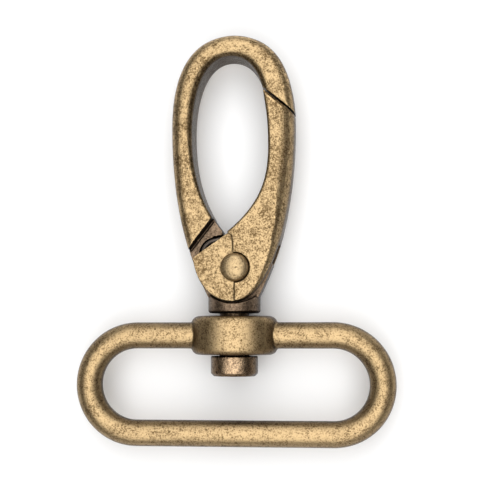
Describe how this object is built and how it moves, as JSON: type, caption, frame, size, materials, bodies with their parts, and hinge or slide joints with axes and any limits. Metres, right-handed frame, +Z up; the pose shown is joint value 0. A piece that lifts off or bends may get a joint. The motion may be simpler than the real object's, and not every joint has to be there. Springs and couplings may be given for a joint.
{
  "type": "swivel snap hook",
  "caption": "Swivel snap hook: an oval strap loop, a boss and pin that let the hook turn, and a spring-shut gate that closes the pear-shaped hook eye.",
  "frame": {"origin": "centre of the part's outline in X and Y, at its lowest point in Z, lying on its back", "axes": "+X across the strap loop towards the gate's side, +Y from the strap loop to the hook's crown, along the swivel axis, +Z up out of the hook's front face"},
  "size_m": [0.0454, 0.0588, 0.01],
  "materials": {
    "antique_brass": "antique brass plating, darkened in the hollows and rubbed bright on the edges",
    "worn_brass": "antique brass plating rubbed brighter on the domed heads",
    "dark_bronze": "antique brass plating that has stayed darker, with turned faces",
    "spring_steel": "dull spring wire"
  },
  "bodies": {
    "loop": {"strap_loop": "antique_brass"},
    "hook": {"hook_body": "antique_brass", "swivel_pin": "dark_bronze", "gate_spring": "spring_steel"},
    "gate": {"gate": "antique_brass", "gate_rivet": "worn_brass"}
  },
  "joints": [
    {"name": "swivel", "type": "hinge", "parent": "loop", "child": "hook", "pos_m": [0, -0.01371, 0.005], "axis": [0, 1, 0], "continuous": true},
    {"name": "gate_hinge", "type": "hinge", "parent": "hook", "child": "gate", "pos_m": [0.00037, -0.00419, 0.005], "axis": [0, 0, 1], "range_deg": [0, 20], "stiffness_Nm_per_rad": 0.04, "springref_deg": -45.84, "deforming": ["gate_spring"]}
  ]
}
